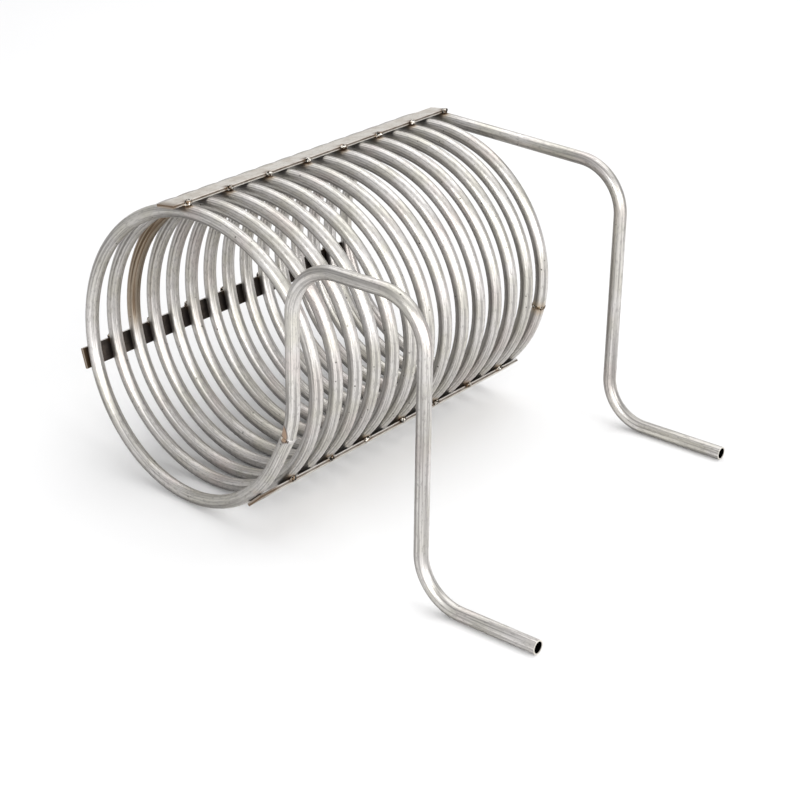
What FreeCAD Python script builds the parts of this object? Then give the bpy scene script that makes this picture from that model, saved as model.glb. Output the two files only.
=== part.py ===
"""Immersion wort chiller: a welded stainless tube coil with two bent leads and three flat straps.

The coil lies on its side, its axis along Y, and the two leads stand beside it with their feet on
the floor. Angles around the coil are in degrees from the top (+Z) towards the leads (+X), and they
keep counting, 360 to a turn, as the winding advances towards +Y. Lengths are in millimetres.
"""
import FreeCAD, Part
import math
import os

from FreeCAD import Vector

# Tube
TUBE_OD = 12.7                # outer diameter, 1/2 inch
TUBE_WALL = 1.2               # wall thickness
WELD_GAP = 1.0                # root gap left between two tube ends that are butt welded

# Coil
COIL_RADIUS = 132.0           # to the tube's centre line
PITCH = 26.0                  # advance of one turn along Y
TURNS = 14                    # turns between the first and the last crossing under the top strap
FRONT_EASE_ANGLE = -62.0      # the first turn starts to open forwards here
FRONT_END_ANGLE = -243.3      # the winding stops here and runs on straight
FRONT_OPENING = 12.83         # and by then stands this far in front of an even winding
FRONT_STRAIGHT = 32.0         # straight end of the coil tube, up to the front weld
REAR_WELD_ANGLE = 102.0       # place of the rear weld on the last full turn
REAR_EASE_SPAN = 60.0         # stretch over which the last turn flattens into the rear lead's plane
STATION_STEP = 45.0           # the winding is drawn through a point at every such angle

# Leads, bent flat in planes across the coil's axis
FRONT_LEAD_TILT = 15.0        # the front lead's lower end leans inwards by this, in degrees
FRONT_LEAD_STUB = 8.0         # its straight length next to the weld
FRONT_BOW_RADIUS = 105.0      # slow bend from the stub to the upright riser
FRONT_TOP_RISE = 0.6          # its top run's centre line above the coil's
FRONT_LEG_REACH = 145.5       # from the coil's centre line out to its outer leg
FRONT_FOOT_REACH = 119.5      # from that leg out to the end of its foot
REAR_LEAVE_ANGLE = 2.1        # the last turn leaves the coil here, as a tangent
REAR_LEG_REACH = 73.0         # from the coil's centre line out to the rear lead's leg
REAR_FOOT_REACH = 130.5       # from that leg out to the end of its foot
SHOULDER_BEND = 48.0          # centre line radius of each lead's first bend over the top
LEG_BEND = 43.0               # centre line radius of the other bends

# Straps: three equal lengths of flat bar along the outside of the coil
STRAP_WIDTH = 20.0
STRAP_THICKNESS = 3.0
STRAP_EDGE_RADIUS = 0.5
STRAP_CLEARANCE = 0.05        # between the straps and the turns that they bridge
STRAP_FRONT_REACH = 18.0      # the top and side straps start this far in front of the first crossing
STRAP_REAR_REACH = 4.0        # and end this far past the rear lead's plane
BOTTOM_STRAP_REACH = 4.5      # the bottom strap ends this far past its last crossing
TOP_STRAP_ANGLE = -7.5
BOTTOM_STRAP_ANGLE = 137.9
SIDE_STRAP_ANGLE = -105.9

# Welds
BEAD_HEIGHT = 0.9             # a butt weld's crown above the tube
BEAD_TOE = 0.3                # its height at its two sides
BEAD_LENGTH = 5.0             # a butt weld's length along the tube
TACK_RADIUS = 3.1             # each tack is a round lump on a strap's edge
TACK_LIFT = 0.6               # height of the lump's centre over the strap's inner face
TACK_EVERY = 2                # a strap is tacked to every second turn

TUBE_RADIUS = TUBE_OD / 2
BORE_RADIUS = TUBE_RADIUS - TUBE_WALL
FLOOR_LINE = -COIL_RADIUS     # centre line of a tube that lies on the floor beside the coil
FRONT_PLANE = PITCH * FRONT_END_ANGLE / 360 - FRONT_OPENING
FRONT_LEG_X = COIL_RADIUS + FRONT_LEG_REACH
REAR_PLANE = TURNS * PITCH
REAR_LEG_X = COIL_RADIUS + REAR_LEG_REACH
REAR_END_ANGLE = TURNS * 360 + REAR_LEAVE_ANGLE
REAR_JOINT_ANGLE = (TURNS - 1) * 360 + REAR_WELD_ANGLE
STRAP_FACE = COIL_RADIUS + TUBE_RADIUS + STRAP_CLEARANCE
STRAP_LENGTH = STRAP_FRONT_REACH + REAR_PLANE + STRAP_REAR_REACH


# ---------------------------------------------------------------- centre lines

def eased(angle, start, end):
    """Y and its slope per degree between two (angle, Y, slope) ends, as a cubic."""
    span = end[0] - start[0]
    t = (angle - start[0]) / span
    y = ((2 * t ** 3 - 3 * t ** 2 + 1) * start[1] + (3 * t ** 2 - 2 * t ** 3) * end[1]
         + span * ((t ** 3 - 2 * t ** 2 + t) * start[2] + (t ** 3 - t ** 2) * end[2]))
    slope = (6 * t * (t - 1) * (start[1] - end[1]) / span
             + (3 * t ** 2 - 4 * t + 1) * start[2] + (3 * t ** 2 - 2 * t) * end[2])
    return y, slope


def coil_advance(angle):
    """Y of the winding at an angle, and its slope per degree: even turns with two eased ends."""
    slope = PITCH / 360
    rear_ease_angle = REAR_END_ANGLE - REAR_EASE_SPAN
    if angle < FRONT_EASE_ANGLE:
        return eased(angle, (FRONT_END_ANGLE, FRONT_PLANE, 0.0),
                     (FRONT_EASE_ANGLE, slope * FRONT_EASE_ANGLE, slope))
    if angle > rear_ease_angle:
        return eased(angle, (rear_ease_angle, slope * rear_ease_angle, slope),
                     (REAR_END_ANGLE, REAR_PLANE, 0.0))
    return slope * angle, slope


def coil_station(angle):
    """Point and direction of the winding's centre line at an angle."""
    a = math.radians(angle)
    y, slope = coil_advance(angle)
    point = Vector(COIL_RADIUS * math.sin(a), y, COIL_RADIUS * math.cos(a))
    direction = Vector(COIL_RADIUS * math.cos(a), math.degrees(slope), -COIL_RADIUS * math.sin(a))
    return point, direction.normalize()


def winding(start, end):
    """Stations of the winding from one angle to another, evenly spaced."""
    count = max(1, math.ceil((end - start) / STATION_STEP))
    return [coil_station(start + (end - start) * i / count) for i in range(count + 1)]


def bent_run(corners, radii):
    """Stations of a tube that is bent at each inner corner with the given centre line radius."""
    heading = [(b - a).normalize() for a, b in zip(corners, corners[1:])]
    stations = [(corners[0], heading[0])]
    for corner, radius, before, after in zip(corners[1:-1], radii, heading, heading[1:]):
        setback = radius * math.tan(before.getAngle(after) / 2)
        stations += [(corner - before * setback, before), (corner + after * setback, after)]
    return stations + [(corners[-1], heading[-1])]


# ---------------------------------------------------------------- tube solids

def tangent_arcs(start, end):
    """Segments (point, direction, end point) that join two stations without a kink."""
    (p0, t0), (p1, t1) = start, end
    across = p1 - p0
    if across.getAngle(t0) < 1e-7 and across.getAngle(t1) < 1e-7:
        return [(p0, t0, p1)]
    along = across.dot(t0 + t1)
    spread = 2 * (1 - t0.dot(t1))
    reach = (math.sqrt(along ** 2 + spread * across.dot(across)) - along) / spread
    middle = (p0 + p1 + (t0 - t1) * reach) * 0.5
    chord = (middle - p0).normalize()
    return [(p0, t0, middle), (middle, chord * (2 * chord.dot(t0)) - t0, p1)]


def swept_faces(profile, segments):
    """Faces swept by a closed edge along lines and arcs, and the edge where it ends."""
    faces = []
    for point, direction, target in segments:
        across = target - point
        off_line = across - direction * across.dot(direction)
        if off_line.Length < 1e-6:
            faces.append(profile.extrude(across))
            profile = profile.translated(across)
            continue
        inward = Vector(off_line).normalize()
        centre = point + inward * (across.dot(across) / (2 * across.dot(inward)))
        axis = direction.cross(inward)
        turn = 2 * math.degrees(math.atan2(across.dot(inward), across.dot(direction)))
        faces.append(profile.revolve(centre, axis, turn))
        profile = profile.rotated(centre, axis, turn)
    return faces, profile


def tube(stations, radii=(TUBE_RADIUS, BORE_RADIUS)):
    """One solid tube along the stations; with a single radius it is a solid rod."""
    segments = []
    for start, end in zip(stations, stations[1:]):
        segments += tangent_arcs(start, end)
    faces, first_ends, last_ends = [], [], []
    for radius in radii:
        profile = Part.makeCircle(radius, *stations[0])
        wall, last = swept_faces(profile, segments)
        faces += wall
        first_ends.append(Part.Wire(profile))
        last_ends.append(Part.Wire(last))
    faces += [Part.makeFace(ends, "Part::FaceMakerBullseye") for ends in (first_ends, last_ends)]
    shell = Part.Shell(faces)
    shell.sewShape()
    solid = Part.Solid(shell)
    return solid if solid.Volume > 0 else solid.reversed()


def rod(stations):
    """Solid rod that fills a tube along the stations."""
    return tube(stations, (TUBE_RADIUS,))


# ---------------------------------------------------------------- pieces

def coil_stations():
    wound = winding(FRONT_END_ANGLE, REAR_JOINT_ANGLE)
    straight_point, heading = wound[0]
    return [(straight_point - heading * FRONT_STRAIGHT, heading)] + wound


def front_lead_stations():
    """From the front weld: a short stub, a slow bow, the riser, over the top and down to the foot."""
    top = COIL_RADIUS + FRONT_TOP_RISE
    coil_end, heading = coil_stations()[0]
    tilt = math.radians(FRONT_LEAD_TILT)
    stub_heading = Vector(math.sin(tilt), 0, math.cos(tilt))
    start = coil_end - heading * WELD_GAP
    setback = FRONT_BOW_RADIUS * math.tan(tilt / 2)
    bow = start + stub_heading * (FRONT_LEAD_STUB + setback)
    return bent_run([start, bow,
                     Vector(bow.x, FRONT_PLANE, top),
                     Vector(FRONT_LEG_X, FRONT_PLANE, top),
                     Vector(FRONT_LEG_X, FRONT_PLANE, FLOOR_LINE),
                     Vector(FRONT_LEG_X + FRONT_FOOT_REACH, FRONT_PLANE, FLOOR_LINE)],
                    [FRONT_BOW_RADIUS, SHOULDER_BEND, LEG_BEND, LEG_BEND])


def rear_lead_stations():
    """From the rear weld: the rest of the last turn, off at a tangent, over and down to the foot."""
    gap_angle = math.degrees(WELD_GAP / COIL_RADIUS)
    wound = winding(REAR_JOINT_ANGLE + gap_angle, REAR_END_ANGLE)
    leave, heading = wound[-1]
    shoulder = leave + heading * ((REAR_LEG_X - leave.x) / heading.x)
    bent = bent_run([leave, shoulder,
                     Vector(REAR_LEG_X, REAR_PLANE, FLOOR_LINE),
                     Vector(REAR_LEG_X + REAR_FOOT_REACH, REAR_PLANE, FLOOR_LINE)],
                    [SHOULDER_BEND, LEG_BEND])
    return wound + bent[1:]


def radial(angle):
    """Outward direction at an angle around the coil, and the direction of growing angle."""
    a = math.radians(angle)
    return Vector(math.sin(a), 0, math.cos(a)), Vector(math.cos(a), 0, -math.sin(a))


def strap(angle, start):
    """Flat bar along the coil, its inner face just over the turns, with its long edges eased."""
    bar = Part.makeBox(STRAP_WIDTH, STRAP_LENGTH, STRAP_THICKNESS,
                       Vector(-STRAP_WIDTH / 2, start, STRAP_FACE))
    long_edges = [e for e in bar.Edges if abs(e.tangentAt(0).y) > 0.5]
    bar = bar.makeFillet(STRAP_EDGE_RADIUS, long_edges)
    return bar.rotated(Vector(), Vector(0, 1, 0), angle)


def tack(bar, angle, edge_side, turn):
    """Weld lump where a turn passes a strap's edge, shaped to the bar and the tube it joins."""
    outward, sideways = radial(angle)
    edge_angle = angle + edge_side * math.degrees(math.atan(STRAP_WIDTH / 2 / STRAP_FACE))
    crossing = turn * 360 + edge_angle
    y, _ = coil_advance(crossing)
    centre = (outward * (STRAP_FACE + TACK_LIFT) + sideways * (edge_side * STRAP_WIDTH / 2)
              + Vector(0, y, 0))
    lump = Part.makeSphere(TACK_RADIUS, centre)
    reach = 2 * math.degrees(TUBE_OD / COIL_RADIUS)
    return lump.cut([bar, rod(winding(crossing - reach, crossing + reach))])


def butt_weld(first, second):
    """Crowned ring over the joint between two tube ends, filled down to the bore.

    Each end is the two stations of its tube next to the joint, the joint's station first.
    """
    (p0, t0), (p1, t1) = first[0], second[0]
    middle, axis = (p0 + p1) * 0.5, (t0 - t1).normalize()
    half = BEAD_LENGTH / 2
    side = (Vector(0, 1, 0) - axis * axis.y).normalize()

    def at(radius, along):
        return middle + side * radius + axis * along

    toe = TUBE_RADIUS + BEAD_TOE
    crown = Part.Arc(at(toe, -half), at(TUBE_RADIUS + BEAD_HEIGHT, 0), at(toe, half))
    outline = [Part.makeLine(at(0, half), at(0, -half)), Part.makeLine(at(0, -half), at(toe, -half)),
               crown.toShape(), Part.makeLine(at(toe, half), at(0, half))]
    ring = Part.Face(Part.Wire(outline)).revolve(middle, axis, 360)
    bore = Part.makeCylinder(BORE_RADIUS, BEAD_LENGTH, middle - axis * half, axis)
    return ring.cut([bore, rod(first), rod(second)])


def turned_round(stations):
    """The same stations, met from the other end."""
    return [(point, direction * -1) for point, direction in reversed(stations)]


def build():
    coil, front, rear = coil_stations(), front_lead_stations(), rear_lead_stations()
    pieces = {"coil_tube": tube(coil), "front_lead": tube(front), "rear_lead": tube(rear),
              "front_butt_weld": butt_weld(front[:2], coil[:2]),
              "rear_butt_weld": butt_weld(rear[:2], turned_round(coil[-2:]))}
    last_bottom_crossing, _ = coil_advance((TURNS - 1) * 360 + BOTTOM_STRAP_ANGLE)
    bottom_start = last_bottom_crossing + BOTTOM_STRAP_REACH - STRAP_LENGTH
    straps = [("top", TOP_STRAP_ANGLE, -STRAP_FRONT_REACH, 1, range(0, TURNS + 1, TACK_EVERY)),
              ("bottom", BOTTOM_STRAP_ANGLE, bottom_start, -1, range(0, TURNS, TACK_EVERY)),
              ("side", SIDE_STRAP_ANGLE, -STRAP_FRONT_REACH, 1, range(1, TURNS + 1, TACK_EVERY))]
    for place, angle, start, edge_side, turns in straps:
        bar = strap(angle, start)
        pieces[place + "_strap"] = bar
        for number, turn in enumerate(turns, 1):
            pieces["%s_tack_%d" % (place, number)] = tack(bar, angle, edge_side, turn)
    return pieces


def floor_origin(pieces):
    """The move that puts the middle of the chiller's footprint, on the floor, at the origin."""
    box = Part.makeCompound(list(pieces.values())).optimalBoundingBox(False, False)
    return Vector(-(box.XMin + box.XMax) / 2, -(box.YMin + box.YMax) / 2, -box.ZMin)


if __name__ == "__main__":
    os.makedirs("parts", exist_ok=True)
    parts = build()
    move = floor_origin(parts)
    print("coil axis moved by", move)
    for name, shape in parts.items():
        shape.translated(move).exportStep("parts/%s.step" % name)
        print(name, shape.isValid(), len(shape.Solids), round(shape.Volume, 1))
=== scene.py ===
"""Immersion wort chiller: stainless tube coil, two bent leads, three tacked flat straps.

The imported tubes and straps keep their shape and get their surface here. The tack welds and the two
butt welds are modelled as weld metal. Lengths are in metres, +Y along the coil, +Z up.
"""
import math
import random

import bpy
from mathutils import Matrix, Vector


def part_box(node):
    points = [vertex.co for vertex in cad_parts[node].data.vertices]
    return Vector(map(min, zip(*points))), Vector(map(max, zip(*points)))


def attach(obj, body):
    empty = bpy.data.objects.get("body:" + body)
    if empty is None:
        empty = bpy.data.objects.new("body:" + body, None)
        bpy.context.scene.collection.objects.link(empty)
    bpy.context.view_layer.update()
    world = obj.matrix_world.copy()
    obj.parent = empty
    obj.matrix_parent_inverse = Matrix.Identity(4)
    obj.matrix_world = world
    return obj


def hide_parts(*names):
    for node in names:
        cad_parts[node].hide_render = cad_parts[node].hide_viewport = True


bl_info = {
    "name": "Wort Chiller Coil",
    "version": (1, 0, 0),
    "blender": (4, 5, 0),
    "location": "3D View > Sidebar > Chiller",
    "description": "Surfaces, weld beads and studio for a stainless immersion chiller",
    "category": "Object",
}

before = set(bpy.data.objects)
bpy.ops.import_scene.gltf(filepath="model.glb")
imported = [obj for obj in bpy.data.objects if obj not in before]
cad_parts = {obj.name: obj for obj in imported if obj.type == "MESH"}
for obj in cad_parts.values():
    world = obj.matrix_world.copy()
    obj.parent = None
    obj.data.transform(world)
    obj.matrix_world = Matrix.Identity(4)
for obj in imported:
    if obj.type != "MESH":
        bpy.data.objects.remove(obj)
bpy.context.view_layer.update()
MM = 0.001
RAGGED = 5 * MM         # how far the edge of a heat tint wanders in and out

COIL_LOW, COIL_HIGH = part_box("coil_tube")
COIL_OUTER = (COIL_HIGH.z - COIL_LOW.z) / 2
COIL_AXIS = Vector((COIL_LOW.x + COIL_OUTER, 0, (COIL_LOW.z + COIL_HIGH.z) / 2))
TUBE_RADIUS = 6.35 * MM
BORE_RADIUS = 5.15 * MM
TUBES = ("coil_tube", "front_lead", "rear_lead")
STRAPS = ("top_strap", "bottom_strap", "side_strap")
TACKS = sorted(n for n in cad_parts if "_tack_" in n)
STAINED_SIDE = Vector((-0.10, -0.995, 0))       # where the front bead was left as welded
DINGY_SIDE = Vector((-0.60, -0.50, -0.62))      # the side of the tubes darkened as painted shade


# ---------------------------------------------------------------- places on the frame

def middle(node):
    """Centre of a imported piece's box."""
    low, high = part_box(node)
    return (low + high) / 2


def outward_at(point):
    """Direction straight away from the coil's axis at a point."""
    across = Vector((point.x - COIL_AXIS.x, 0, point.z - COIL_AXIS.z))
    return across.normalized()


# on that side the tube just above the front bead has a copper coloured patch
COPPER_PATCH = middle("front_butt_weld") + 5.6 * MM * STAINED_SIDE + Vector((0, 0, 5 * MM))


# ---------------------------------------------------------------- material nodes

def paint(code):
    """An sRGB hex colour as the linear colour, with full alpha, that a shader takes."""
    def linear(v):
        return v / 12.92 if v <= 0.04045 else ((v + 0.055) / 1.055) ** 2.4
    return tuple(linear(int(code[i:i + 2], 16) / 255) for i in (1, 3, 5)) + (1.0,)


def add(tree, kind, settings=None, links=None, out=0):
    """Adds a node with its settings, sets or links its inputs, and returns one of its outputs, or
    the node itself where out is None."""
    node = tree.nodes.new("ShaderNode" + kind)
    for key, value in (settings or {}).items():
        setattr(node, key, value)
    for key, value in (links or {}).items():
        if isinstance(value, bpy.types.NodeSocket):
            tree.links.new(value, node.inputs[key])
        else:
            node.inputs[key].default_value = value
    return node if out is None else node.outputs[out]


def new_material(name, shader):
    """A material with one shader, and its tree and shader node."""
    material = bpy.data.materials.new(name)
    material.use_nodes = True
    tree = material.node_tree
    tree.nodes.clear()
    bsdf = add(tree, "BsdfPrincipled", links=shader, out=None)
    add(tree, "OutputMaterial", links={"Surface": bsdf.outputs[0]}, out=None)
    return material, tree, bsdf


def coats(tree, colour, layers):
    """Lays colours over one another. A layer is (pattern, low, high, start, end, colour): it covers
    by start where its pattern is under low, by end where it is over high, smoothly in between."""
    for pattern, low, high, start, end, tint in layers:
        cover = add(tree, "MapRange", {"interpolation_type": "SMOOTHSTEP"},
                    {0: pattern, 1: low, 2: high, 3: start, 4: end})
        colour = add(tree, "Mix", {"data_type": "RGBA"}, {0: cover, 6: colour, 7: tint}, out=2)
    return colour


def distance(tree, place, point, stretch=(1, 1, 1)):
    """Distance of the surface from a point, with each axis weighed by stretch."""
    away = add(tree, "VectorMath", {"operation": "SUBTRACT"}, {0: place, 1: tuple(point)})
    weighed = add(tree, "VectorMath", {"operation": "MULTIPLY"}, {0: away, 1: stretch})
    return add(tree, "VectorMath", {"operation": "LENGTH"}, {0: weighed}, out="Value")


def tack_distance(tree, place):
    """Distance from the nearest tack weld. Each strap's tacks are evenly spaced along Y, so Y is
    folded at every tack and halfway between them, and one point stands for the whole row."""
    x, y, z = add(tree, "SeparateXYZ", {}, {0: place}, out=None).outputs
    nearest = None
    for row in ("top_tack_", "bottom_tack_", "side_tack_"):
        points = sorted((middle(n) for n in TACKS if n.startswith(row)), key=lambda p: p.y)
        step = (points[-1].y - points[0].y) / (len(points) - 1)
        first = points[0].y - 10 * step     # well before the coil, so that the fold sees no minus
        past = add(tree, "Math", {"operation": "SUBTRACT"}, {0: y, 1: first})
        along = add(tree, "Math", {"operation": "PINGPONG"}, {0: past, 1: step / 2})
        folded = add(tree, "CombineXYZ", {}, {0: x, 1: along, 2: z})
        away = distance(tree, folded, (points[0].x, 0, points[0].z))
        nearest = away if nearest is None else add(
            tree, "Math", {"operation": "MINIMUM"}, {0: nearest, 1: away})
    return nearest


def pickled_stainless_tube(look):
    """Pickled and annealed stainless tube: a dull satin grey with long faint draw lines, greenish and
    rosy cloudiness from the bath, a few dark pits, and straw to brown tint around each weld."""
    metal, tree, bsdf = new_material("pickled_stainless_tube", {"Metallic": 1.0})
    spot = add(tree, "TexCoord", out=None)
    place, normal = spot.outputs["Object"], spot.outputs["Normal"]
    x, y, z = add(tree, "SeparateXYZ", {}, {0: place}, out=None).outputs

    # every tube of the chiller runs across Y, so the normal's Y tells how far round its section a
    # spot lies; a line from the drawing die keeps its place round the section all along the tube
    turned = add(tree, "Math", {"operation": "ARCSINE"},
                 {0: add(tree, "SeparateXYZ", {}, {0: normal}, out=1)})
    round_section = add(tree, "Math", {"operation": "MULTIPLY"}, {0: turned, 1: TUBE_RADIUS})
    unrolled = add(tree, "CombineXYZ", {}, {0: x, 1: round_section, 2: z})
    # the draw lines and the grain are both coarser than the real ones, which are too fine to show
    slow = look.line_spacing / look.line_length
    drawn = add(tree, "VectorMath", {"operation": "MULTIPLY"}, {0: unrolled, 1: (slow, 1, slow)})
    grain = add(tree, "VectorMath", {"operation": "MULTIPLY"}, {0: unrolled, 1: (0.3, 1, 0.3)})
    lines = add(tree, "TexNoise", {}, {"Vector": drawn, "Scale": 1 / look.line_spacing, "Detail": 2.0,
                                       "Roughness": 0.6})
    broad_lines = add(tree, "TexNoise", {}, {"Vector": drawn, "Scale": 0.25 / look.line_spacing,
                                             "Detail": 1.0})
    clouds = add(tree, "TexNoise", {}, {"Vector": place, "Scale": 1 / look.cloud_size, "Detail": 3.0,
                                        "Roughness": 0.55})
    blush = add(tree, "TexNoise", {}, {"Vector": place, "Scale": 0.65 / look.cloud_size, "Detail": 2.0})
    mottle = add(tree, "TexNoise", {}, {"Vector": grain, "Scale": 1 / look.grain_size, "Detail": 3.0,
                                        "Roughness": 0.65})
    colour = coats(tree, look.light_metal, (
        (clouds, 0.36, 0.66, 0.0, 1.0, look.green_metal),
        (blush, 0.50, 0.72, 0.0, 0.75, look.rosy_metal),
        (lines, 0.44, 0.64, 0.0, 0.60, paint("#706D6B")),
        (broad_lines, 0.50, 0.68, 0.0, 0.45, paint("#807D7B")),
        (mottle, 0.50, 0.70, 0.0, 0.50, paint("#7C7977"))))

    # painted shade: the tubes' flanks facing down and left are darkened, most of all between the turns
    under_side = add(tree, "VectorMath", {"operation": "DOT_PRODUCT"}, {0: normal, 1: DINGY_SIDE},
                     out="Value")
    off_axis = distance(tree, place, COIL_AXIS, (1, 0, 1))
    on_coil = add(tree, "MapRange", {}, {0: off_axis, 1: COIL_OUTER, 2: COIL_OUTER + 3 * MM, 3: 1.0,
                                         4: 0.0})
    between = add(tree, "Math", {"operation": "MULTIPLY"}, {0: under_side, 1: on_coil})
    colour = coats(tree, colour, ((under_side, 0.50, 0.85, 0.0, 0.55, paint("#5C5855")),
                                  (between, 0.10, 0.85, 0.0, 0.50, paint("#4C4845"))))

    # scattered dark pits, each a millimetre or two across, in about one cell of six
    pit_cell = 7 * MM
    cells = add(tree, "TexVoronoi", {}, {"Vector": place, "Scale": 1 / pit_cell}, out=None)
    pitted = add(tree, "MapRange", {}, {0: add(tree, "SeparateColor", {}, {0: cells.outputs["Color"]}),
                                        1: 0.81, 2: 0.85})
    near = add(tree, "MapRange", {}, {0: cells.outputs["Distance"], 1: 0.07, 2: 0.16, 3: 1.0, 4: 0.0})
    pits = add(tree, "Math", {"operation": "MULTIPLY"}, {0: pitted, 1: near})
    colour = coats(tree, colour, ((pits, 0.0, 1.0, 0.0, 0.8, paint("#2B2622")),))

    # one turn of the coil was left with a brown furnace band on its far upper side
    band_middle = COIL_AXIS + Vector((-108 * MM, 0, 55 * MM))
    climb = 0.04                # how far along Y the turn goes as it rises
    tilted = add(tree, "Math", {"operation": "MULTIPLY_ADD"},
                 {0: z, 1: -climb, 2: climb * band_middle.z - look.band_y})
    beside = add(tree, "Math", {"operation": "ABSOLUTE"},
                 {0: add(tree, "Math", {"operation": "ADD"}, {0: y, 1: tilted})})
    on_turn = add(tree, "MapRange", {}, {0: beside, 1: 9 * MM, 2: 11 * MM, 3: 1.0, 4: 0.0})
    upper_side = add(tree, "MapRange", {"interpolation_type": "SMOOTHSTEP"}, {
        0: distance(tree, place, band_middle, (0.7, 0, 0.8)), 1: 44 * MM, 2: 82 * MM, 3: 1.0,
        4: 0.0})
    scorch = add(tree, "Math", {"operation": "MULTIPLY"}, {0: on_turn, 1: upper_side})
    streaks = add(tree, "Math", {"operation": "MULTIPLY"}, {0: scorch, 1: lines})
    colour = coats(tree, colour, ((scorch, 0.0, 1.0, 0.0, 0.75, paint("#8A7860")),
                                  (streaks, 0.42, 0.60, 0.0, 0.7, paint("#54402E"))))

    # heat tint: straw further off, brown and then soot close to the weld metal
    around_rear_weld = add(tree, "Math", {"operation": "SUBTRACT"},
                           {0: distance(tree, place, middle("rear_butt_weld")), 1: look.butt_scorch})
    heat = add(tree, "Math", {"operation": "MINIMUM"},
               {0: tack_distance(tree, place), 1: around_rear_weld})
    ragged = add(tree, "Math", {"operation": "MULTIPLY_ADD"}, {0: mottle, 1: RAGGED, 2: heat})
    colour = coats(tree, colour, (
        (ragged, 6.5 * MM, 13.5 * MM, 0.50, 0.0, paint("#A98F68")),
        (ragged, 5.5 * MM, 9.0 * MM, 0.80, 0.0, paint("#6E4F35")),
        (ragged, 4.0 * MM, 6.5 * MM, 0.90, 0.0, paint("#251D18"))))
    patch = distance(tree, place, COPPER_PATCH, (1, 1, 0.55))
    colour = coats(tree, colour, ((patch, 4.3 * MM, 5.5 * MM, 0.8, 0.0, paint("#5F4D40")),
                                  (patch, 3.4 * MM, 4.3 * MM, 0.9, 0.0, paint("#A68D79"))))

    # the saw cut at each foot is bare bright metal, and the bore behind it is painted near black as
    # painted shade. Each is so deep from the foot's end and reaches so far from the tube's middle
    bore = (90 * MM, BORE_RADIUS + 0.25 * MM, paint("#15120F"))
    saw_cut = (0.4 * MM, TUBE_RADIUS + 0.65 * MM, paint("#D8D4CC"))
    for lead in ("front_lead", "rear_lead"):
        low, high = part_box(lead)
        across = distance(tree, place, (0, high.y - TUBE_RADIUS, low.z + TUBE_RADIUS), (0, 1, 1))
        for deep, reach, tint in (bore, saw_cut):
            past = add(tree, "Math", {"operation": "GREATER_THAN"}, {0: x, 1: high.x - deep})
            within = add(tree, "Math", {"operation": "LESS_THAN"}, {0: across, 1: reach})
            both = add(tree, "Math", {"operation": "MULTIPLY"}, {0: past, 1: within})
            colour = coats(tree, colour, ((both, 0.0, 1.0, 0.0, 1.0, tint),))
    tree.links.new(colour, bsdf.inputs["Base Color"])

    # rougher in the draw lines and the grain, and sooty rough where it was burnt
    rough = add(tree, "Math", {"operation": "MULTIPLY_ADD"}, {0: lines, 1: 0.16,
                                                              2: look.roughness - 0.14})
    rough = add(tree, "Math", {"operation": "MULTIPLY_ADD"}, {0: mottle, 1: 0.12, 2: rough})
    burnt = add(tree, "MapRange", {}, {0: ragged, 1: 3.5 * MM, 2: 9.5 * MM, 3: 0.22, 4: 0.0})
    rough = add(tree, "Math", {"operation": "ADD", "use_clamp": True}, {0: rough, 1: burnt})
    tree.links.new(rough, bsdf.inputs["Roughness"])
    height = add(tree, "Math", {"operation": "MULTIPLY_ADD"}, {0: lines, 1: 0.55, 2: mottle})
    height = add(tree, "Math", {"operation": "MULTIPLY_ADD"}, {0: pits, 1: -2.2, 2: height})
    bump = add(tree, "Bump", {}, {"Strength": 0.35, "Distance": 0.055 * MM, "Height": height})
    tree.links.new(bump, bsdf.inputs["Normal"])
    return metal


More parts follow.
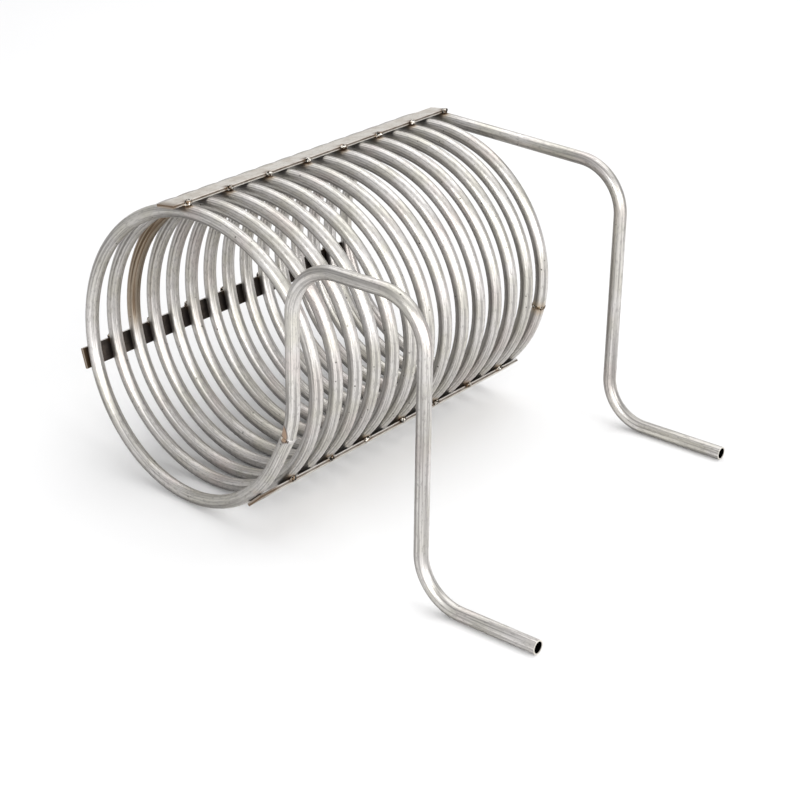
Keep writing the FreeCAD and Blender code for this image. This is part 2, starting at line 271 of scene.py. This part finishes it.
def mill_finish_flat_bar(look):
    """Hot rolled and pickled flat bar: pale and cloudy outside, painted shade on the face towards the
    turns, brown sheared edges with a painted highlight band, and rolling marks along its length."""
    metal, tree, bsdf = new_material("mill_finish_flat_bar", {"Metallic": 1.0})
    spot = add(tree, "TexCoord", out=None)
    place, normal = spot.outputs["Object"], spot.outputs["Normal"]
    from_axis = add(tree, "VectorMath", {"operation": "SUBTRACT"}, {0: place, 1: tuple(COIL_AXIS)})
    across = add(tree, "VectorMath", {"operation": "MULTIPLY"}, {0: from_axis, 1: (1, 0, 1)})
    radial = add(tree, "VectorMath", {"operation": "NORMALIZE"}, {0: across})
    facing = add(tree, "VectorMath", {"operation": "DOT_PRODUCT"}, {0: radial, 1: normal}, out="Value")
    radius = add(tree, "VectorMath", {"operation": "LENGTH"}, {0: across}, out="Value")
    depth = add(tree, "Math", {"operation": "SUBTRACT"}, {0: radius, 1: COIL_OUTER})

    # the rolling marks run along the bar, some thirty times as long as they are wide, and are drawn
    # coarser than the real ones, which are too fine to show
    mark_width, cloud_size, grain_size = 0.7 * MM, 14 * MM, 2.4 * MM
    rolled = add(tree, "VectorMath", {"operation": "MULTIPLY"}, {0: place, 1: (1, 0.03, 1)})
    lines = add(tree, "TexNoise", {}, {"Vector": rolled, "Scale": 1 / mark_width, "Detail": 2.0,
                                       "Roughness": 0.6})
    clouds = add(tree, "TexNoise", {}, {"Vector": place, "Scale": 1 / cloud_size, "Detail": 4.0,
                                        "Roughness": 0.6})
    mottle = add(tree, "TexNoise", {}, {"Vector": place, "Scale": 1 / grain_size, "Detail": 3.0,
                                        "Roughness": 0.65})

    # a sheared edge is brown torn metal, with a painted highlight as a bright band next to the turns
    edge = coats(tree, paint("#9A9289"), ((clouds, 0.35, 0.65, 0.0, 1.0, paint("#6E6156")),
                                          (depth, 1.3 * MM, 1.9 * MM, 1.0, 0.0, paint("#E4E1DB"))))
    pale = coats(tree, look.pale_face, ((clouds, 0.38, 0.64, 0.0, 1.0, look.cloudy_face),
                                        (mottle, 0.50, 0.75, 0.0, 0.45, paint("#978F85")),
                                        (lines, 0.50, 0.75, 0.0, 0.25, paint("#85807A"))))
    # painted shade: the face towards the turns is near black, with lighter clouds and darker rolling
    # marks
    scale = coats(tree, look.mill_scale, ((clouds, 0.45, 0.70, 0.0, 1.0, look.worn_scale),
                                          (lines, 0.55, 0.75, 0.0, 0.5, paint("#2A2522"))))
    # pale on the outer face, painted shade on the face towards the turns, the edge colour between them
    colour = coats(tree, edge, ((facing, 0.35, 0.80, 0.0, 1.0, pale),
                                (facing, -0.80, -0.35, 1.0, 0.0, scale)))

    # the front ends were scorched when the bars were cut to length
    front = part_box("side_strap")[0].y
    y = add(tree, "SeparateXYZ", {}, {0: place}, out=1)
    scorched = add(tree, "Math", {"operation": "MULTIPLY_ADD"}, {0: clouds, 1: 20 * MM, 2: y})
    colour = coats(tree, colour, ((scorched, front + 11 * MM, front + 22 * MM, 0.75, 0.0,
                                   paint("#6E5A45")),))

    # brown heat tint round each tack weld, and soot right beside it
    heat = tack_distance(tree, place)
    ragged = add(tree, "Math", {"operation": "MULTIPLY_ADD"}, {0: mottle, 1: RAGGED, 2: heat})
    colour = coats(tree, colour, ((ragged, 5.5 * MM, 10.5 * MM, 0.70, 0.0, paint("#7C6650")),
                                  (ragged, 4.0 * MM, 7.0 * MM, 0.90, 0.0, paint("#211A16"))))
    tree.links.new(colour, bsdf.inputs["Base Color"])

    # the face painted dark as shade is also made duller than the pale face
    dull = add(tree, "MapRange", {}, {0: facing, 1: -0.8, 2: -0.35, 3: look.strap_roughness + 0.02,
                                      4: look.strap_roughness - 0.1})
    rough = add(tree, "Math", {"operation": "MULTIPLY_ADD"}, {0: mottle, 1: 0.2, 2: dull})
    tree.links.new(rough, bsdf.inputs["Roughness"])
    height = add(tree, "Math", {"operation": "MULTIPLY_ADD"}, {0: lines, 1: 0.6, 2: mottle})
    bump = add(tree, "Bump", {}, {"Strength": 0.5, "Distance": 0.09 * MM, "Height": height})
    tree.links.new(bump, bsdf.inputs["Normal"])
    return metal


def weld_metal(look, name, tint, tinted, pitted, stained_side=None):
    """Frozen weld metal: bright silvery metal, clouds of straw and brown heat tint, and sooty black
    pits where the puddle boiled. A bead with a stained side was brushed as clean as the tube
    everywhere else, up to a dark rim round the stain."""
    metal, tree, bsdf = new_material(name, {"Metallic": 1.0})
    spot = add(tree, "TexCoord", out=None)
    place, normal = spot.outputs["Object"], spot.outputs["Normal"]
    lump_size, tint_size = 2.2 * MM, 3.4 * MM
    lumps = add(tree, "TexNoise", {}, {"Vector": place, "Scale": 1 / lump_size, "Detail": 4.0,
                                       "Roughness": 0.6})
    heat = add(tree, "TexNoise", {}, {"Vector": place, "Scale": 1 / tint_size, "Detail": 2.0})
    colour = coats(tree, paint("#D6D2CA"), ((heat, tinted, tinted + 0.14, 0.0, 1.0, tint),
                                            (lumps, pitted, pitted + 0.08, 0.0, 1.0,
                                             paint("#1B1714"))))
    if stained_side is not None:
        side = add(tree, "VectorMath", {"operation": "DOT_PRODUCT"}, {0: normal, 1: stained_side},
                   out="Value")
        colour = coats(tree, colour, ((side, 0.78, 0.90, 1.0, 0.0, paint("#3A2E26")),
                                      (side, 0.60, 0.76, 1.0, 0.0, look.brushed_bead)))
    tree.links.new(colour, bsdf.inputs["Base Color"])
    rough = add(tree, "MapRange", {}, {0: lumps, 1: 0.35, 2: 0.7, 3: look.weld_roughness, 4: 0.6})
    tree.links.new(rough, bsdf.inputs["Roughness"])
    bump = add(tree, "Bump", {}, {"Strength": 0.6, "Distance": 0.3 * MM, "Height": lumps})
    tree.links.new(bump, bsdf.inputs["Normal"])
    return metal


def put_on(node, material):
    """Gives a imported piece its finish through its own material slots."""
    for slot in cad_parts[node].material_slots:
        slot.material = material


# ---------------------------------------------------------------- modelling helpers

def nothing_selected():
    """Leaves edit mode and deselects every object."""
    if bpy.context.object and bpy.context.object.mode != "OBJECT":
        bpy.ops.object.mode_set(mode="OBJECT")
    bpy.ops.object.select_all(action="DESELECT")


def settle(piece, name, matrix):
    """Puts a piece in its place, with the place in its mesh, and names it."""
    piece.matrix_world = matrix
    nothing_selected()
    piece.select_set(True)
    bpy.context.view_layer.objects.active = piece
    bpy.ops.object.transform_apply(location=True, rotation=True, scale=True)
    piece.name = piece.data.name = name


def stand_for(piece, node, material):
    """Gives a modelled piece its material, attaches it to the root body and hides the packed piece that
    it stands for.
    """
    piece.data.materials.clear()
    piece.data.materials.append(material)
    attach(piece, "root")
    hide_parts(node)


def shape(operator, **settings):
    """Runs an edit mode operator on what is selected of the current piece's mesh, then deselects."""
    bpy.ops.object.mode_set(mode="EDIT")
    operator(**settings)
    bpy.ops.mesh.select_all(action="DESELECT")
    bpy.ops.object.mode_set(mode="OBJECT")


def displace(piece, strength, size, name):
    """Raises and sinks a piece's surface with a cloudy pattern of the given lump size."""
    pattern = bpy.data.textures.new(name, "CLOUDS")
    pattern.noise_scale = size
    lumps = piece.modifiers.new(name, "DISPLACE")
    lumps.texture = pattern
    lumps.strength = strength
    lumps.mid_level = 0.5
    bpy.ops.object.modifier_apply(modifier=name)


# ---------------------------------------------------------------- sizes that a user may change

class ChillerTubeLook(bpy.types.PropertyGroup):
    light_metal: bpy.props.FloatVectorProperty(
        name="Light metal", description="Colour of the clean tube", default=paint("#D6D3D0"),
        subtype="COLOR", size=4, min=0, max=1)
    green_metal: bpy.props.FloatVectorProperty(
        name="Greenish metal", description="Colour of the greenish clouds", default=paint("#CAC7BE"),
        subtype="COLOR", size=4, min=0, max=1)
    rosy_metal: bpy.props.FloatVectorProperty(
        name="Rosy metal", description="Colour of the rosy clouds", default=paint("#D0C7C3"),
        subtype="COLOR", size=4, min=0, max=1)
    roughness: bpy.props.FloatProperty(
        name="Roughness", description="Mean roughness of the tube", default=0.42, min=0, max=1,
        subtype="FACTOR")
    line_spacing: bpy.props.FloatProperty(
        name="Draw line spacing", description="Distance between draw lines; the real ones are finer",
        default=1.5 * MM, subtype="DISTANCE", unit="LENGTH", precision=5)
    line_length: bpy.props.FloatProperty(
        name="Draw line length", description="How far a draw line runs before it fades",
        default=90 * MM, subtype="DISTANCE", unit="LENGTH", precision=4)
    cloud_size: bpy.props.FloatProperty(
        name="Cloud size", description="Width of a greenish cloud left by the pickling bath",
        default=34 * MM, subtype="DISTANCE", unit="LENGTH", precision=4)
    grain_size: bpy.props.FloatProperty(
        name="Grain size", description="Width of the surface grain; the real grain is finer",
        default=1.5 * MM, subtype="DISTANCE", unit="LENGTH", precision=5)
    butt_scorch: bpy.props.FloatProperty(
        name="Rear weld scorch", description="How much wider the rear weld's heat tint is than a tack's",
        default=1.0 * MM, subtype="DISTANCE", unit="LENGTH", precision=5)
    band_y: bpy.props.FloatProperty(
        name="Furnace band", description="Y of the turn with the brown furnace band",
        default=-0.1187, subtype="DISTANCE", unit="LENGTH", precision=4)


class ChillerWeldLook(bpy.types.PropertyGroup):
    pale_face: bpy.props.FloatVectorProperty(
        name="Pale face", description="Colour of a strap's clean outer face", default=paint("#DAD6CF"),
        subtype="COLOR", size=4, min=0, max=1)
    cloudy_face: bpy.props.FloatVectorProperty(
        name="Cloudy face", description="Colour of the clouds on that face", default=paint("#C8C1B7"),
        subtype="COLOR", size=4, min=0, max=1)
    # painted shade: the colour that darkens a strap's face towards the turns, and after it the colour of
    # its lighter clouds
    mill_scale: bpy.props.FloatVectorProperty(
        name="Shaded face", description="Colour of the painted shade on a strap's inner face",
        default=paint("#4A4441"), subtype="COLOR", size=4, min=0, max=1)
    worn_scale: bpy.props.FloatVectorProperty(
        name="Lighter shaded face", description="Colour of the lighter clouds in that painted shade",
        default=paint("#635B55"), subtype="COLOR", size=4, min=0, max=1)
    weld_tint: bpy.props.FloatVectorProperty(
        name="Weld tint", description="Colour of the oxide on the weld metal", default=paint("#7F6A55"),
        subtype="COLOR", size=4, min=0, max=1)
    brushed_bead: bpy.props.FloatVectorProperty(
        name="Brushed bead", description="Colour of the front bead where it was brushed",
        default=paint("#C9C6C3"), subtype="COLOR", size=4, min=0, max=1)
    strap_roughness: bpy.props.FloatProperty(
        name="Strap roughness", description="Mean roughness of the flat bar", default=0.42, min=0, max=1,
        subtype="FACTOR")
    weld_roughness: bpy.props.FloatProperty(
        name="Weld roughness", description="Roughness of the bright weld crests", default=0.28, min=0,
        max=1, subtype="FACTOR")
    tack_radius: bpy.props.FloatProperty(
        name="Tack radius", description="Radius of a tack weld's lump", default=3.3 * MM,
        subtype="DISTANCE", unit="LENGTH", precision=5)
    tack_seed: bpy.props.IntProperty(
        name="Tack variety", description="Picks how the tack welds differ from each other", default=7)
    bead_width: bpy.props.FloatProperty(
        name="Bead width", description="Width of a butt weld's bead along the tube", default=4.6 * MM,
        subtype="DISTANCE", unit="LENGTH", precision=5)
    front_lean: bpy.props.FloatProperty(
        name="Front bead lean", description="Lean of the tube at the front butt weld from upright",
        default=math.radians(20.8), subtype="ANGLE", unit="ROTATION")


class ChillerStudio(bpy.types.PropertyGroup):
    floor_radius: bpy.props.FloatProperty(
        name="Floor radius", description="Radius of the round pale floor", default=9.0,
        subtype="DISTANCE", unit="LENGTH")
    azimuth: bpy.props.FloatProperty(
        name="Camera azimuth", description="Camera's turn from looking along +Y",
        default=math.radians(38.409), subtype="ANGLE", unit="ROTATION")
    elevation: bpy.props.FloatProperty(
        name="Camera elevation", description="Camera's height above the horizon",
        default=math.radians(25.324), subtype="ANGLE", unit="ROTATION")
    roll: bpy.props.FloatProperty(
        name="Camera roll", description="Camera's turn about its own axis",
        default=math.radians(0.801), subtype="ANGLE", unit="ROTATION")
    distance: bpy.props.FloatProperty(
        name="Camera distance", description="From the camera to the point it looks at",
        default=1.8168, subtype="DISTANCE", unit="LENGTH")
    target: bpy.props.FloatVectorProperty(
        name="Camera target", description="The point that the camera looks at",
        default=(-0.0440, 0.01565, 0.0520), subtype="XYZ", unit="LENGTH")
    lens: bpy.props.FloatProperty(
        name="Lens", description="Focal length in millimetres", default=85.4)


# ---------------------------------------------------------------- operators

class CHILLER_OT_tubes(bpy.types.Operator):
    """Gives the coil and the two leads their pickled stainless surface"""
    bl_idname = "chiller.tubes"
    bl_label = "Finish the tubes"

    def execute(self, context):
        finish = pickled_stainless_tube(context.scene.chiller_tube)
        for node in TUBES:
            put_on(node, finish)
        return {"FINISHED"}


class CHILLER_OT_straps(bpy.types.Operator):
    """Gives the three flat straps their mill finish"""
    bl_idname = "chiller.straps"
    bl_label = "Finish the straps"

    def execute(self, context):
        finish = mill_finish_flat_bar(context.scene.chiller_weld)
        for node in STRAPS:
            put_on(node, finish)
        return {"FINISHED"}


class CHILLER_OT_tacks(bpy.types.Operator):
    """Models one tack weld and sets a copy, each a little different, on every tack of the frame"""
    bl_idname = "chiller.tacks"
    bl_label = "Add the tack welds"

    def execute(self, context):
        look = context.scene.chiller_weld
        if not TACKS:
            raise RuntimeError("the frame has no tack welds")
        finish = weld_metal(look, "tack_weld_metal", look.weld_tint, 0.46, 0.47)
        rng = random.Random(look.tack_seed)
        nothing_selected()
        bpy.ops.mesh.primitive_ico_sphere_add(subdivisions=4, radius=look.tack_radius)
        master = bpy.context.object
        shape(bpy.ops.transform.resize, value=(0.95, 1.12, 0.8))
        # a small sunken crater on the side where the arc was broken off
        crater_side = Vector((0.5, -0.6, 0.62))
        for face in master.data.polygons:
            face.select = face.normal.dot(crater_side) > 0.93
        shape(bpy.ops.mesh.inset, thickness=0.25 * MM, depth=-0.35 * MM)
        displace(master, 2.6 * MM, 1.6 * MM, "boiled_puddle")
        bpy.ops.object.shade_smooth()
        for node in TACKS:
            copy = master.copy()
            copy.data = master.data.copy()
            context.collection.objects.link(copy)
            centre = middle(node)
            out = outward_at(centre)
            along = Vector((0, 1, 0))
            turned = Matrix((along.cross(out), along, out)).transposed().to_4x4()
            wobble = (Matrix.Rotation(rng.uniform(0, math.tau), 4, "Z")
                      @ Matrix.Rotation(rng.uniform(-0.5, 0.5), 4, "X"))
            size = Matrix.Diagonal((rng.uniform(0.9, 1.2), rng.uniform(0.95, 1.3),
                                    rng.uniform(0.85, 1.1), 1))
            settle(copy, node.replace("tack", "tack_lump"),
                   Matrix.Translation(centre) @ turned @ size @ wobble)
            stand_for(copy, node, finish)
        nothing_selected()
        bpy.data.objects.remove(master)
        return {"FINISHED"}


class CHILLER_OT_butt_welds(bpy.types.Operator):
    """Models the rippled bead that joins each lead to the coil"""
    bl_idname = "chiller.butt_welds"
    bl_label = "Add the butt welds"

    def execute(self, context):
        look = context.scene.chiller_weld
        strips = 96                     # strips of faces round the ring
        section = 1.15 * MM             # radius of the ring's section, before it is widened
        sunk = 0.75 * MM                # from the tube's surface down to the section's middle
        across = Vector((0, 1, 0))
        finishes = {"front_butt_weld": weld_metal(look, "brushed_butt_weld", paint("#A08872"), 0.30,
                                                  0.60, STAINED_SIDE),
                    "rear_butt_weld": weld_metal(look, "brown_butt_weld", paint("#786854"), 0.30,
                                                 0.52)}
        leans = {"front_butt_weld": Vector((math.sin(look.front_lean), 0, math.cos(look.front_lean))),
                 "rear_butt_weld": outward_at(middle("rear_butt_weld")).cross(across)}
        for node, along in leans.items():
            nothing_selected()
            bpy.ops.mesh.primitive_torus_add(
                major_radius=TUBE_RADIUS - sunk, minor_radius=section, major_segments=strips,
                minor_segments=20)
            bead = bpy.context.object
            shape(bpy.ops.transform.resize, value=(1, 1, look.bead_width / (2 * section)))
            # frozen ripples: outside the tube every third strip stands a little proud
            for face in bead.data.polygons:
                strip = math.floor(math.atan2(face.center.y, face.center.x) / math.tau * strips)
                face.select = strip % 3 == 0 and face.center.xy.length > TUBE_RADIUS - 0.5 * MM
            shape(bpy.ops.transform.shrink_fatten, value=0.12 * MM)
            displace(bead, 0.5 * MM, 2.5 * MM, "uneven_bead")
            bpy.ops.object.shade_smooth()
            third = along.cross(across).normalized()
            settle(bead, node.replace("weld", "bead"), Matrix.Translation(middle(node))
                   @ Matrix((third, across, along)).transposed().to_4x4())
            stand_for(bead, node, finishes[node])
        return {"FINISHED"}


class CHILLER_OT_studio(bpy.types.Operator):
    """Lays the pale floor and sets the lights and the camera"""
    bl_idname = "chiller.studio"
    bl_label = "Set up the studio"

    def softbox(self, name, place, aim, width, height, watts):
        """Hangs a rectangular lamp that faces the point it aims at."""
        nothing_selected()
        bpy.ops.object.light_add(type="AREA", location=place)
        lamp = bpy.context.object
        lamp.name = name
        lamp.data.shape = "RECTANGLE"
        lamp.data.size = width
        lamp.data.size_y = height
        lamp.data.energy = watts
        lamp.rotation_euler = (Vector(aim) - Vector(place)).to_track_quat("-Z", "Y").to_euler()

    def execute(self, context):
        studio = context.scene.chiller_studio
        nothing_selected()
        # a hair under the object, so that no face of it lies in the floor's
        bpy.ops.mesh.primitive_circle_add(vertices=96, radius=studio.floor_radius, fill_type="NGON",
                                          location=(0, 0, -0.2 * MM))
        floor = bpy.context.object
        floor.name = "floor"
        matt, tree, bsdf = new_material("matt_white_floor", {"Roughness": 0.9,
                                                             "Specular IOR Level": 0.2})
        fibre = add(tree, "TexNoise", {}, {"Vector": add(tree, "TexCoord", out="Object"), "Scale": 1.6})
        paper = coats(tree, paint("#E8E8E8"), ((fibre, 0.3, 0.7, 0.0, 1.0, paint("#EAEAEA")),))
        tree.links.new(paper, bsdf.inputs["Base Color"])
        floor.data.materials.append(matt)

        # even light from all round, a touch cooler than white
        world = bpy.data.worlds.new("studio_air")
        context.scene.world = world
        world.use_nodes = True
        sky = world.node_tree.nodes["Background"]
        sky.inputs["Color"].default_value = paint("#F3F3F4")
        sky.inputs["Strength"].default_value = 0.74

        # a broad soft light from above, and two from the right and the front for the tubes' gloss
        self.softbox("overhead_softbox", (-0.5, 1.2, 2.6), (-0.2, 0.5, 0), 3.6, 3.2, 54)
        self.softbox("right_softbox", (2.6, -0.2, 0.95), (0, 0, 0.1), 1.8, 1.6, 40)
        self.softbox("front_softbox", (1.7, -2.7, 1.1), (0, 0, 0.1), 2.6, 1.7, 80)

        # back points from the target to the camera, and level and upright lie across that line
        back = Vector((math.sin(studio.azimuth) * math.cos(studio.elevation),
                       -math.cos(studio.azimuth) * math.cos(studio.elevation),
                       math.sin(studio.elevation)))
        level = Vector((math.cos(studio.azimuth), math.sin(studio.azimuth), 0))
        upright = back.cross(level)
        right = level * math.cos(studio.roll) + upright * math.sin(studio.roll)
        up = upright * math.cos(studio.roll) - level * math.sin(studio.roll)
        nothing_selected()
        bpy.ops.object.camera_add()
        camera = bpy.context.object
        camera.matrix_world = (Matrix.Translation(Vector(studio.target) + back * studio.distance)
                               @ Matrix((right, up, back)).transposed().to_4x4())
        camera.data.sensor_width = 36
        camera.data.lens = studio.lens
        camera.data.clip_end = 50
        context.scene.camera = camera
        context.scene.view_settings.view_transform = "Standard"
        return {"FINISHED"}


class CHILLER_PT_panel(bpy.types.Panel):
    """Lists the chiller's steps and the sizes that each one uses"""
    bl_idname = "CHILLER_PT_panel"
    bl_label = "Chiller"
    bl_space_type = "VIEW_3D"
    bl_region_type = "UI"
    bl_category = "Chiller"

    def draw(self, context):
        for group, steps in (("chiller_tube", ("chiller.tubes",)),
                             ("chiller_weld", ("chiller.straps", "chiller.tacks", "chiller.butt_welds")),
                             ("chiller_studio", ("chiller.studio",))):
            column = self.layout.column(align=True)
            sizes = getattr(context.scene, group)
            for key in sizes.bl_rna.properties.keys():
                if key not in ("rna_type", "name"):
                    column.prop(sizes, key)
            for step in steps:
                column.operator(step)


GROUPS = {"chiller_tube": ChillerTubeLook, "chiller_weld": ChillerWeldLook,
          "chiller_studio": ChillerStudio}
CLASSES = (*GROUPS.values(), CHILLER_OT_tubes, CHILLER_OT_straps, CHILLER_OT_tacks,
           CHILLER_OT_butt_welds, CHILLER_OT_studio, CHILLER_PT_panel)


def register():
    for kind in CLASSES:
        bpy.utils.register_class(kind)
    for name, group in GROUPS.items():
        setattr(bpy.types.Scene, name, bpy.props.PointerProperty(type=group))


def unregister():
    for name in GROUPS:
        delattr(bpy.types.Scene, name)
    for kind in reversed(CLASSES):
        bpy.utils.unregister_class(kind)


def main():
    register()
    bpy.ops.chiller.tubes()
    bpy.ops.chiller.straps()
    bpy.ops.chiller.tacks()
    bpy.ops.chiller.butt_welds()
    bpy.ops.chiller.studio()


if __name__ == "__main__":
    main()
